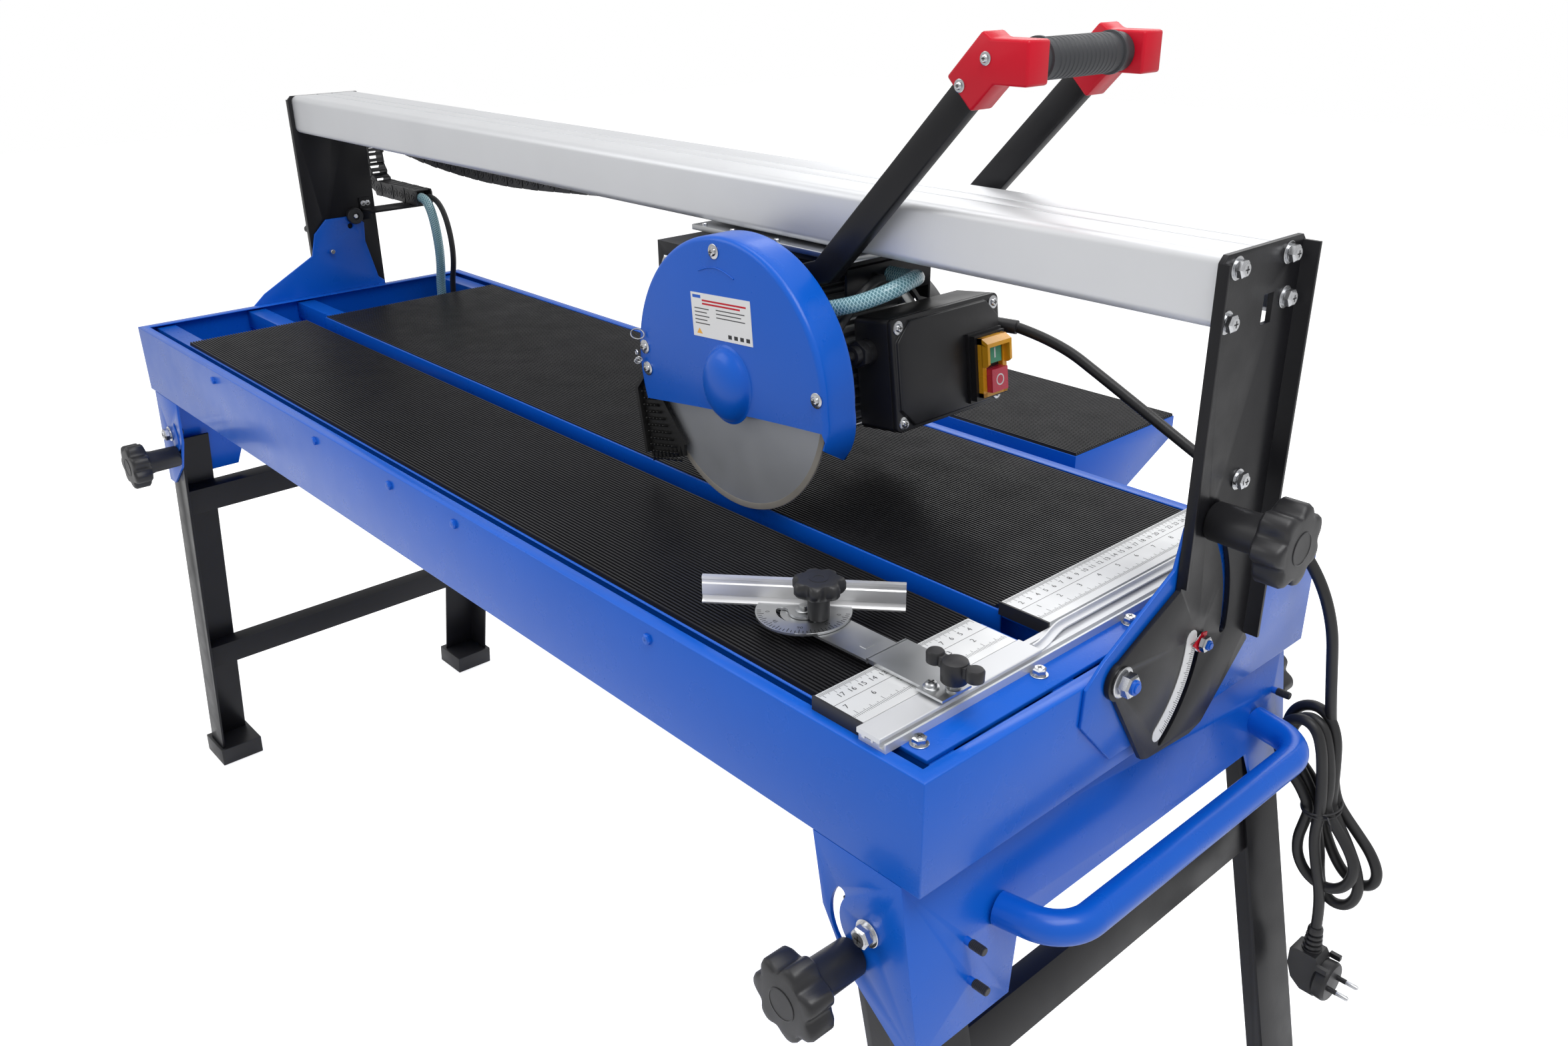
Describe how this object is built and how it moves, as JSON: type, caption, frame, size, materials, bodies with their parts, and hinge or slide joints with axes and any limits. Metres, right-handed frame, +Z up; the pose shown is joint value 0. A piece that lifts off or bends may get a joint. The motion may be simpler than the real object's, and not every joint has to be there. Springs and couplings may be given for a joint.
{
  "type": "wet tile saw",
  "caption": "Bridge wet tile saw: blue water tray on folding black legs, tilting aluminium rail, sliding plunging motor head with guarded diamond blade, fence, protractor and side table",
  "frame": {"origin": "on the floor under the middle of the saw's outline, measured without its cords", "axes": "+X along the rail towards the operator's end with the bevel scale, +Y towards the rear with the side table, +Z up"},
  "size_m": [1.683, 0.7616, 1.1541],
  "materials": {
    "blue_paint": "blue powder coat with orange-peel texture",
    "black_paint": "satin black powder coat",
    "zinc": "zinc-plated steel",
    "aluminium": "satin anodised aluminium",
    "cast_aluminium": "dark grey cast aluminium with fins",
    "blade_steel": "ground steel disc with a diamond rim",
    "black_plastic": "moulded black plastic",
    "grey_plastic": "dark grey grip",
    "red_plastic": "moulded red plastic",
    "yellow_plastic": "yellow switch frame",
    "green_plastic": "green button",
    "stop_plastic": "red button",
    "rubber_mat": "black ribbed rubber",
    "rubber_flap": "black brush rubber",
    "cord_black": "black cord jacket",
    "hose_blue": "light-blue braided hose"
  },
  "bodies": {
    "base": {"tray": "blue_paint", "table_frame": "blue_paint", "table_mats": "rubber_mat", "fence_plate": "blue_paint", "fence_rulers": "aluminium", "bevel_plates": "blue_paint", "end_brackets": "blue_paint", "carry_handle": "blue_paint", "base_bolts": "zinc", "water_pump": "black_plastic", "pump_hose": "hose_blue", "pump_cable": "cord_black", "mains_cord": "cord_black", "cord_hank": "cord_black", "mains_plug": "black_plastic"},
    "bevel_knob_right": {"bevel_knob_right": "black_plastic"},
    "bevel_knob_left": {"bevel_knob_left": "black_plastic"},
    "left_leg_frame": {"left_legs": "black_paint", "left_feet": "black_plastic"},
    "right_leg_frame": {"right_legs": "black_paint", "right_feet": "black_plastic"},
    "leg_knob_left_front": {"leg_knob_left_front": "black_plastic"},
    "leg_knob_left_rear": {"leg_knob_left_rear": "black_plastic"},
    "leg_knob_right_front": {"leg_knob_right_front": "black_plastic"},
    "leg_knob_right_rear": {"leg_knob_right_rear": "black_plastic"},
    "extension": {"extension_frame": "blue_paint", "extension_mat": "rubber_mat"},
    "protractor_bracket": {"protractor_bracket": "zinc"},
    "protractor_wing_knob": {"protractor_wing_knob": "black_plastic"},
    "protractor_head": {"protractor_head": "zinc"},
    "protractor_knob": {"protractor_knob": "black_plastic"},
    "bridge": {"rail": "aluminium", "left_post": "black_paint", "right_post": "black_paint", "rail_bolts": "zinc", "cable_chain": "black_plastic"},
    "carriage": {"carriage_plate": "zinc", "carriage_fasteners": "zinc", "motor_yoke": "black_paint"},
    "rollers_1": {"rollers_1": "grey_plastic"},
    "rollers_2": {"rollers_2": "grey_plastic"},
    "head": {"motor_housing": "cast_aluminium", "fan_cover": "black_plastic", "head_frame": "black_paint", "blade_guard": "blue_paint", "head_screws": "zinc", "switch_box": "black_plastic", "switch_box_cover": "black_plastic", "switch_frame": "yellow_plastic", "cable_glands": "black_plastic", "handle_bars": "black_paint", "handle_corners": "red_plastic", "handle_grip": "grey_plastic", "head_hose": "hose_blue", "motor_cable": "cord_black"},
    "blade": {"blade": "blade_steel", "arbor": "zinc"},
    "splash_flap": {"splash_flap": "rubber_flap"},
    "start_button": {"start_button": "green_plastic"},
    "stop_button": {"stop_button": "stop_plastic"}
  },
  "joints": [
    {"name": "bevel_tilt", "type": "hinge", "parent": "base", "child": "bridge", "pos_m": [0, -0.12025, 0.74], "axis": [1, 0, 0], "range_deg": [0, 45], "deforming": ["mains_cord", "pump_hose", "pump_cable"]},
    {"name": "carriage_travel", "type": "slide", "parent": "bridge", "child": "carriage", "axis": [1, 0, 0], "range_m": [-0.86, 0.25], "deforming": ["cable_chain", "mains_cord"]},
    {"name": "roller_1_spin", "type": "hinge", "parent": "carriage", "child": "rollers_1", "pos_m": [0.235, -0.00075, 0.995], "axis": [0, 1, 0], "continuous": true},
    {"name": "roller_2_spin", "type": "hinge", "parent": "carriage", "child": "rollers_2", "pos_m": [0.345, -0.00075, 0.995], "axis": [0, 1, 0], "continuous": true},
    {"name": "head_plunge", "type": "hinge", "parent": "carriage", "child": "head", "pos_m": [0.19, -0.00075, 0.941], "axis": [0, 1, 0], "range_deg": [0, 10], "stiffness_Nm_per_rad": 60, "springref_deg": -40.11, "deforming": ["mains_cord", "head_hose", "motor_cable"]},
    {"name": "blade_spin", "type": "hinge", "parent": "head", "child": "blade", "pos_m": [0.318, -0.12025, 0.862], "axis": [0, 1, 0], "continuous": true},
    {"name": "splash_flap_swing", "type": "hinge", "parent": "head", "child": "splash_flap", "pos_m": [0.208, -0.12625, 0.849], "axis": [0, 1, 0], "range_deg": [-8, 20]},
    {"name": "start_press", "type": "slide", "parent": "head", "child": "start_button", "axis": [-0.9925, 0, -0.1219], "range_m": [0, 0.0025], "stiffness_N_per_m": 600, "springref_m": -0.002},
    {"name": "stop_press", "type": "slide", "parent": "head", "child": "stop_button", "axis": [-0.9925, 0, -0.1219], "range_m": [0, 0.003], "stiffness_N_per_m": 600, "springref_m": -0.002},
    {"name": "bevel_knob_right_turn", "type": "hinge", "parent": "base", "child": "bevel_knob_right", "pos_m": [0.74, -0.02386, 0.83308], "axis": [1, 0, 0], "continuous": true},
    {"name": "bevel_knob_left_turn", "type": "hinge", "parent": "base", "child": "bevel_knob_left", "pos_m": [-0.74, -0.02386, 0.83308], "axis": [-1, 0, 0], "continuous": true},
    {"name": "extension_slide", "type": "slide", "parent": "base", "child": "extension", "axis": [0, 1, 0], "range_m": [0, 0.16]},
    {"name": "protractor_slide", "type": "slide", "parent": "base", "child": "protractor_bracket", "axis": [0, -1, 0], "range_m": [-0.1, 0.045]},
    {"name": "protractor_wing_knob_turn", "type": "hinge", "parent": "protractor_bracket", "child": "protractor_wing_knob", "pos_m": [0.673, -0.23625, 0.765], "axis": [0, 0, 1], "continuous": true},
    {"name": "protractor_swivel", "type": "hinge", "parent": "protractor_bracket", "child": "protractor_head", "pos_m": [0.525, -0.23325, 0.757], "axis": [0, 0, 1], "range_deg": [-15, 110]},
    {"name": "protractor_knob_turn", "type": "hinge", "parent": "protractor_bracket", "child": "protractor_knob", "pos_m": [0.541, -0.23325, 0.775], "axis": [0, 0, 1], "continuous": true},
    {"name": "left_leg_fold", "type": "hinge", "parent": "base", "child": "left_leg_frame", "pos_m": [-0.674, -0.06975, 0.602], "axis": [0, -1, 0], "range_deg": [0, 95]},
    {"name": "right_leg_fold", "type": "hinge", "parent": "base", "child": "right_leg_frame", "pos_m": [0.674, -0.06975, 0.602], "axis": [0, 1, 0], "range_deg": [0, 95]},
    {"name": "leg_knob_left_front_turn", "type": "hinge", "parent": "left_leg_frame", "child": "leg_knob_left_front", "pos_m": [-0.65997, -0.34225, 0.57324], "axis": [0, -1, 0], "continuous": true},
    {"name": "leg_knob_left_rear_turn", "type": "hinge", "parent": "left_leg_frame", "child": "leg_knob_left_rear", "pos_m": [-0.65997, 0.20275, 0.57324], "axis": [0, 1, 0], "continuous": true},
    {"name": "leg_knob_right_front_turn", "type": "hinge", "parent": "right_leg_frame", "child": "leg_knob_right_front", "pos_m": [0.65997, -0.34225, 0.57324], "axis": [0, -1, 0], "continuous": true},
    {"name": "leg_knob_right_rear_turn", "type": "hinge", "parent": "right_leg_frame", "child": "leg_knob_right_rear", "pos_m": [0.65997, 0.20275, 0.57324], "axis": [0, 1, 0], "continuous": true}
  ],
  "couplings": [
    {"joint": "roller_1_spin", "follows": "carriage_travel", "rad_per_m": 59.52},
    {"joint": "roller_2_spin", "follows": "carriage_travel", "rad_per_m": 59.52}
  ]
}
